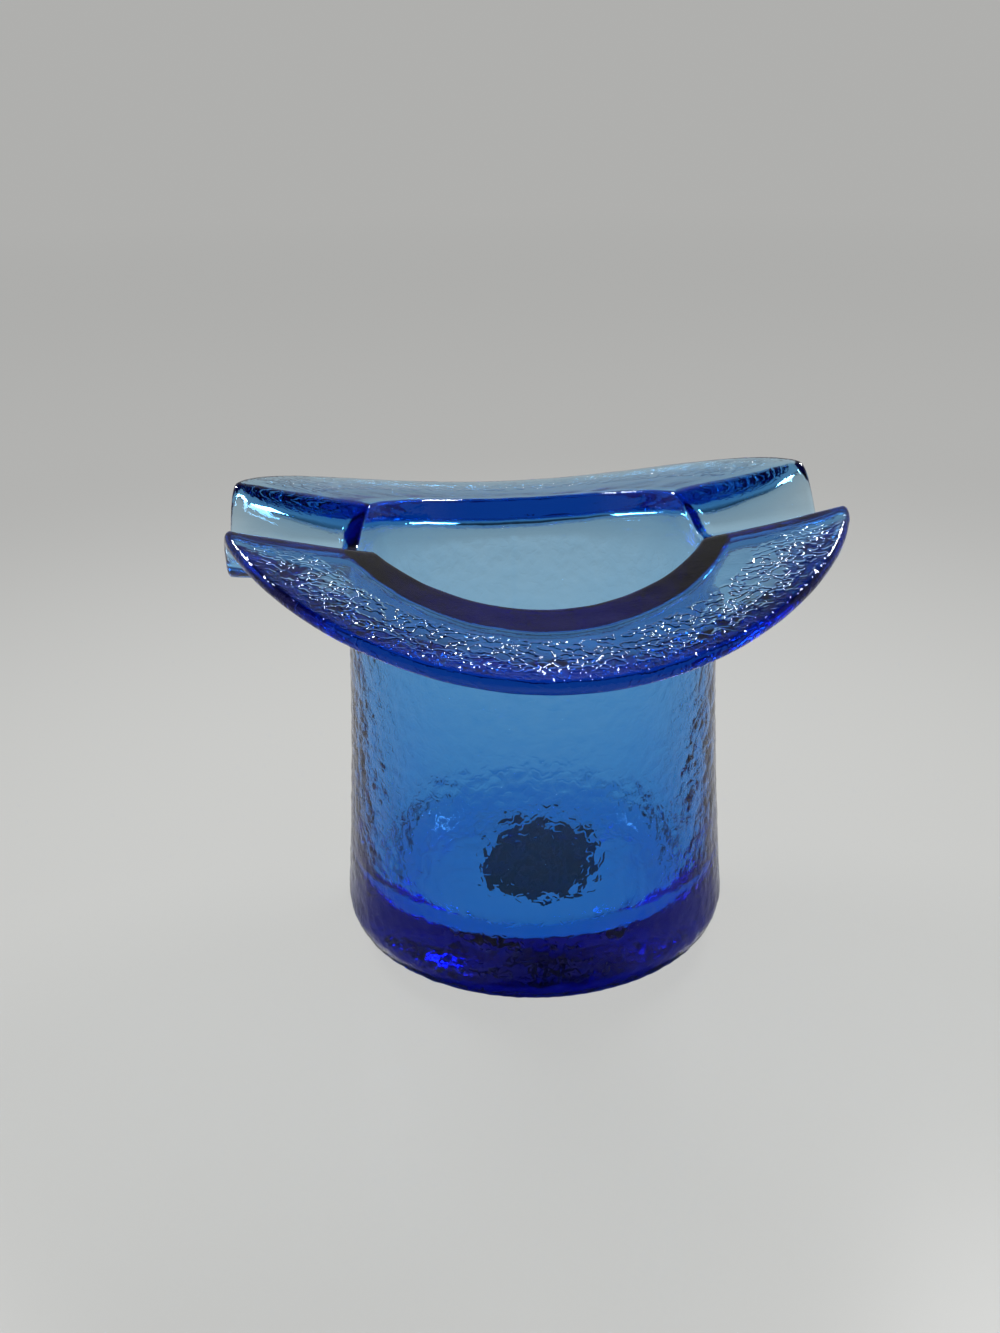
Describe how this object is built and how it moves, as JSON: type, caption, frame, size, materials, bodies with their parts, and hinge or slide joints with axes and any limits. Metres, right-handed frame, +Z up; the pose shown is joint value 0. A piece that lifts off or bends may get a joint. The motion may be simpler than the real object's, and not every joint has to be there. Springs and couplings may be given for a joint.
{
  "type": "glass hat ashtray",
  "caption": "Pressed blue glass top hat standing on its crown, a small cup with a curled brim and a cigarette rest let into the brim at each side.",
  "frame": {"origin": "middle of the foot, on the plane that the hat stands on", "axes": "+Z up through the mouth; X through the two cigarette rests; -Y towards the viewer"},
  "size_m": [0.09, 0.0924, 0.0705],
  "materials": {
    "blue_glass": "fire-polished inside, stippled outside",
    "dark_label": "bare matt label paper"
  },
  "bodies": {
    "root": {"crown": "blue_glass", "brim": "blue_glass", "base_label": "dark_label"}
  },
  "joints": []
}
